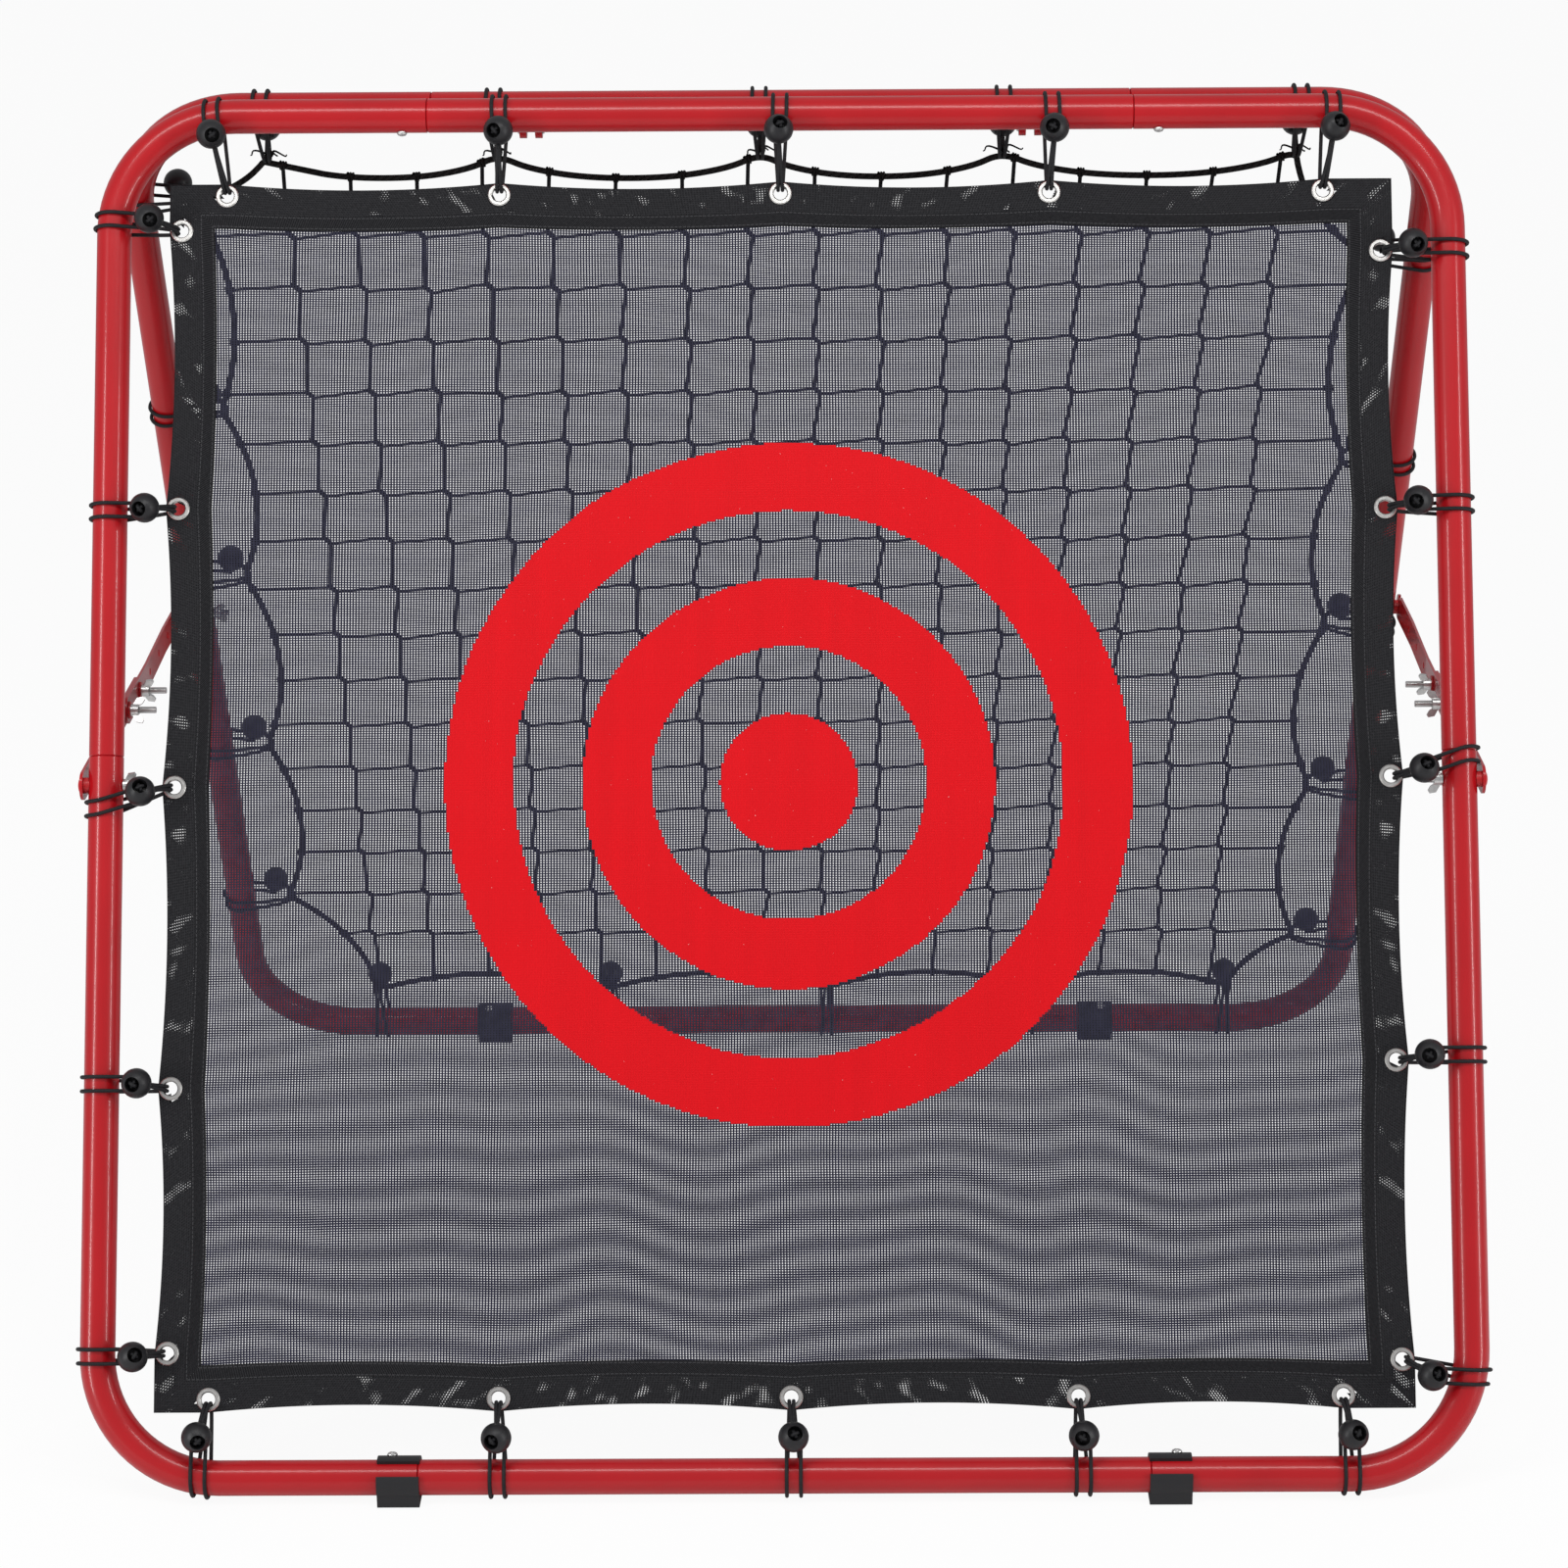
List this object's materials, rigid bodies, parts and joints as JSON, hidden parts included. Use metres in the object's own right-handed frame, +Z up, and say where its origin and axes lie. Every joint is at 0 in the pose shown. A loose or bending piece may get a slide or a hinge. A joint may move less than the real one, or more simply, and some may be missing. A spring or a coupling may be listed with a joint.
{
  "type": "pitch back rebounder",
  "caption": "Free-standing folding A-frame rebounder: red tube frames, one with a black mesh sheet and red ring target, one with a black knotted net.",
  "frame": {"origin": "centre of the footprint, on the floor under the hinge line", "axes": "+X across the frames, -Y the way the mesh sheet faces, +Z up"},
  "size_m": [1.2178, 1.0705, 1.1133],
  "materials": {
    "red_enamel": "deep red gloss enamel",
    "red_bolt": "red painted bolt head",
    "red_plastic": "red moulded plastic",
    "zinc_steel": "bright zinc plate",
    "black_plastic": "black moulded plastic",
    "mesh_weave": "open black weave with a printed red ring target",
    "hem_tape": "black doubled weave with a sewn band",
    "nickel_ring": "nickel-plated eyelet",
    "elastic_cord": "black braided elastic cord",
    "black_ball": "black moulded ball, low gloss",
    "net_twine": "black knotted twine",
    "net_rope": "black braided rope"
  },
  "bodies": {
    "front_frame": {"front_top_tube": "red_enamel", "front_bottom_tube": "red_enamel", "front_upper_left_corner": "red_enamel", "front_upper_right_corner": "red_enamel", "front_lower_left_corner": "red_enamel", "front_lower_right_corner": "red_enamel", "front_joint_screws": "zinc_steel", "front_left_foot": "black_plastic", "front_right_foot": "black_plastic", "front_side_bolts": "red_bolt", "front_spacers": "red_plastic", "hinge_front_lugs": "red_enamel", "hinge_pins": "zinc_steel", "mesh_sheet": "mesh_weave", "mesh_hem": "hem_tape", "mesh_grommets": "nickel_ring", "front_tie_cords_top": "elastic_cord", "front_tie_balls_top": "black_ball", "front_tie_cords_left": "elastic_cord", "front_tie_balls_left": "black_ball", "front_tie_cords_right": "elastic_cord", "front_tie_balls_right": "black_ball", "front_tie_cords_bottom": "elastic_cord", "front_tie_balls_bottom": "black_ball"},
    "rear_frame": {"rear_top_tube": "red_enamel", "rear_bottom_tube": "red_enamel", "rear_upper_left_corner": "red_enamel", "rear_upper_right_corner": "red_enamel", "rear_lower_left_corner": "red_enamel", "rear_lower_right_corner": "red_enamel", "rear_joint_screws": "zinc_steel", "rear_left_foot": "black_plastic", "rear_right_foot": "black_plastic", "rear_side_bolts": "red_bolt", "rear_spacers": "red_plastic", "hinge_rear_lugs": "red_enamel", "rear_net": "net_twine", "net_border_rope": "net_rope", "rear_tie_cords": "elastic_cord", "rear_tie_balls": "black_ball"},
    "left_brace": {"left_brace_front_bar": "red_enamel", "left_brace_rear_bar": "red_enamel", "left_brace_bolts": "red_bolt", "left_brace_washers": "red_plastic"},
    "right_brace": {"right_brace_front_bar": "red_enamel", "right_brace_rear_bar": "red_enamel", "right_brace_bolts": "red_bolt", "right_brace_washers": "red_plastic"},
    "front_left_nut": {"front_left_wing_nut": "zinc_steel"},
    "front_right_nut": {"front_right_wing_nut": "zinc_steel"},
    "rear_left_nut": {"rear_left_wing_nut": "zinc_steel"},
    "rear_right_nut": {"rear_right_wing_nut": "zinc_steel"},
    "left_brace_nut_1": {"left_brace_wing_nut_1": "zinc_steel"},
    "left_brace_nut_2": {"left_brace_wing_nut_2": "zinc_steel"},
    "right_brace_nut_1": {"right_brace_wing_nut_1": "zinc_steel"},
    "right_brace_nut_2": {"right_brace_wing_nut_2": "zinc_steel"}
  },
  "joints": [
    {"name": "rear_frame_fold", "type": "hinge", "parent": "front_frame", "child": "rear_frame", "pos_m": [0, 0, 1.07982], "axis": [1, 0, 0], "range_deg": [-45, 0]},
    {"name": "left_brace_swing", "type": "hinge", "parent": "front_frame", "child": "left_brace", "pos_m": [-0.6049, -0.2673, 0.55741], "axis": [1, 0, 0], "range_deg": [-105, 0]},
    {"name": "right_brace_swing", "type": "hinge", "parent": "front_frame", "child": "right_brace", "pos_m": [0.6049, -0.2673, 0.55741], "axis": [1, 0, 0], "range_deg": [-105, 0]},
    {"name": "front_left_nut_turn", "type": "hinge", "parent": "front_frame", "child": "front_left_nut", "pos_m": [-0.564, -0.2673, 0.55741], "axis": [1, 0, 0], "continuous": true},
    {"name": "front_right_nut_turn", "type": "hinge", "parent": "front_frame", "child": "front_right_nut", "pos_m": [0.564, -0.2673, 0.55741], "axis": [1, 0, 0], "continuous": true},
    {"name": "rear_left_nut_turn", "type": "hinge", "parent": "rear_frame", "child": "rear_left_nut", "pos_m": [-0.564, 0.2673, 0.55741], "axis": [1, 0, 0], "continuous": true},
    {"name": "rear_right_nut_turn", "type": "hinge", "parent": "rear_frame", "child": "rear_right_nut", "pos_m": [0.564, 0.2673, 0.55741], "axis": [1, 0, 0], "continuous": true},
    {"name": "left_brace_nut_1_turn", "type": "hinge", "parent": "left_brace", "child": "left_brace_nut_1", "pos_m": [-0.594, 0.0087, 0.55741], "axis": [1, 0, 0], "continuous": true},
    {"name": "left_brace_nut_2_turn", "type": "hinge", "parent": "left_brace", "child": "left_brace_nut_2", "pos_m": [-0.594, -0.0513, 0.55741], "axis": [1, 0, 0], "continuous": true},
    {"name": "right_brace_nut_1_turn", "type": "hinge", "parent": "right_brace", "child": "right_brace_nut_1", "pos_m": [0.594, 0.0087, 0.55741], "axis": [1, 0, 0], "continuous": true},
    {"name": "right_brace_nut_2_turn", "type": "hinge", "parent": "right_brace", "child": "right_brace_nut_2", "pos_m": [0.594, -0.0513, 0.55741], "axis": [1, 0, 0], "continuous": true}
  ],
  "couplings": [
    {"joint": "left_brace_swing", "follows": "rear_frame_fold", "ratio": 2.33},
    {"joint": "right_brace_swing", "follows": "rear_frame_fold", "ratio": 2.33}
  ]
}
